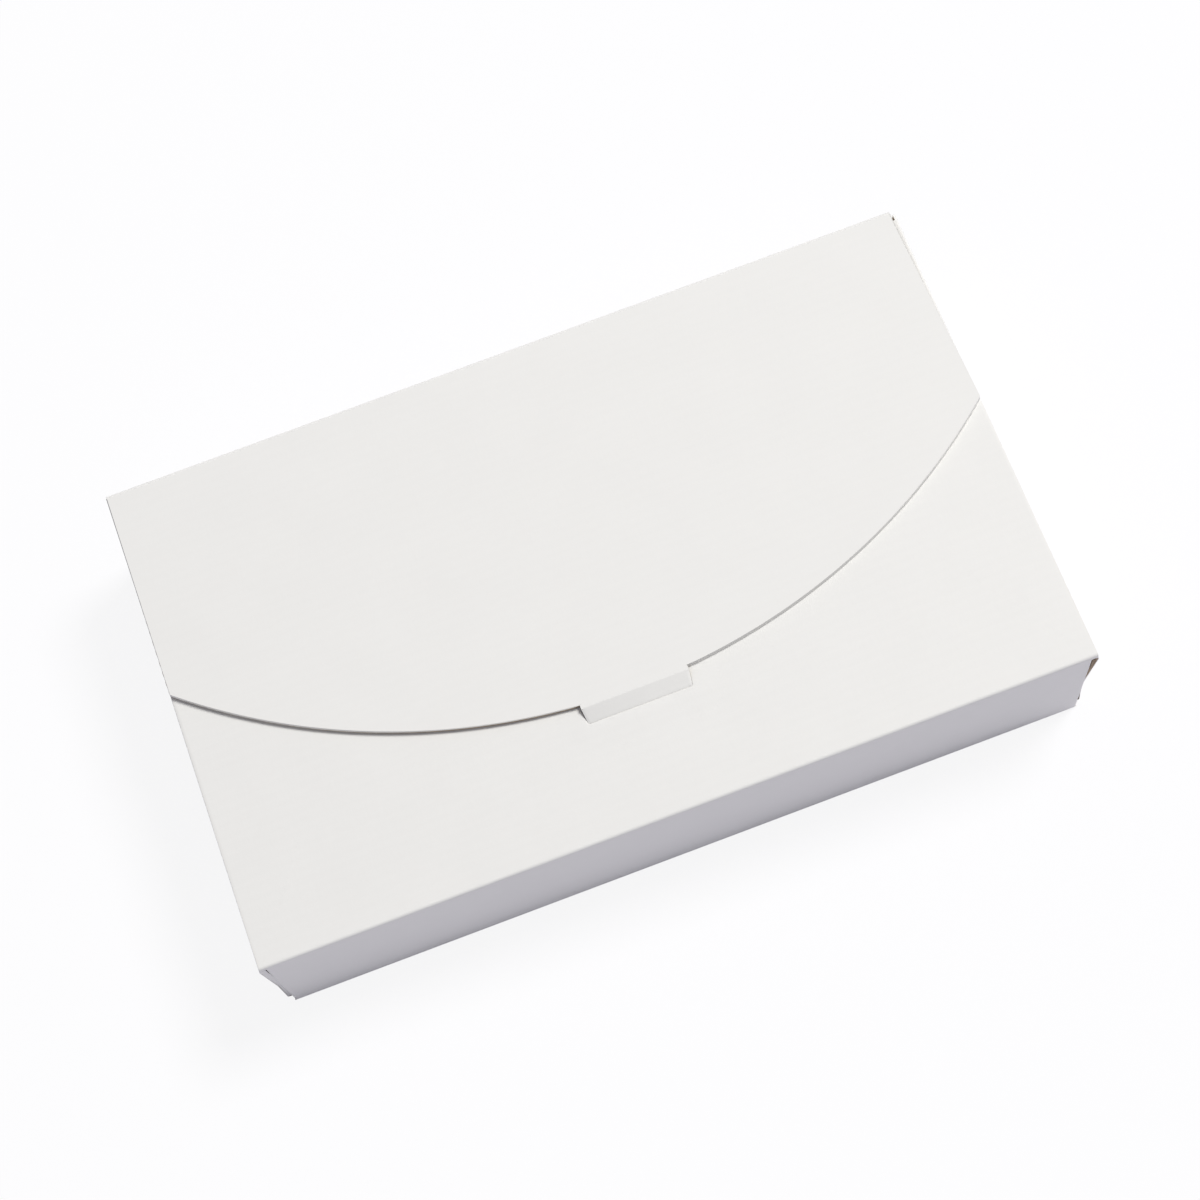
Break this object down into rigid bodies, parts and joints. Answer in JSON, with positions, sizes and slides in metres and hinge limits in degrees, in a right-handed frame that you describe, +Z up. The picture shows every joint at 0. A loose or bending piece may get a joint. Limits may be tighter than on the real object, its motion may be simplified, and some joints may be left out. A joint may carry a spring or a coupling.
{
  "type": "envelope box",
  "caption": "Shallow folding mailing box of white-faced corrugated board with a curved lid flap tucked into a slotted front flap.",
  "frame": {"origin": "middle of the underside of the floor, on the surface the box stands on", "axes": "+X to the right along the box's length, +Y to the back where the lid is creased, +Z up"},
  "size_m": [0.25, 0.15, 0.05],
  "materials": {
    "white_board": "matte",
    "kraft_board": "matte"
  },
  "bodies": {
    "tray": {"bottom_panel": "kraft_board", "front_wall": "white_board", "back_wall": "white_board", "left_outer_wall": "white_board", "left_rim": "white_board", "left_inner_wall": "white_board", "right_outer_wall": "white_board", "right_rim": "white_board", "right_inner_wall": "white_board", "front_left_dust_flap": "kraft_board", "front_right_dust_flap": "kraft_board", "back_left_dust_flap": "kraft_board", "back_right_dust_flap": "kraft_board"},
    "lid": {"lid_flap": "white_board"},
    "tab": {"lid_tab": "white_board"},
    "flap": {"front_flap": "white_board"}
  },
  "joints": [
    {"name": "lid_hinge", "type": "hinge", "parent": "tray", "child": "lid", "pos_m": [0, 0.075, 0.05], "axis": [-1, 0, 0], "range_deg": [0, 180]},
    {"name": "tab_hinge", "type": "hinge", "parent": "lid", "child": "tab", "pos_m": [0, -0.03721, 0.04925], "axis": [1, 0, 0], "range_deg": [0, 30], "stiffness_Nm_per_rad": 0.002},
    {"name": "front_flap_hinge", "type": "hinge", "parent": "tray", "child": "flap", "pos_m": [0, -0.075, 0.0482], "axis": [1, 0, 0], "range_deg": [0, 90]}
  ],
  "couplings": [
    {"joint": "front_flap_hinge", "follows": "lid_hinge", "ratio": 0.5}
  ]
}
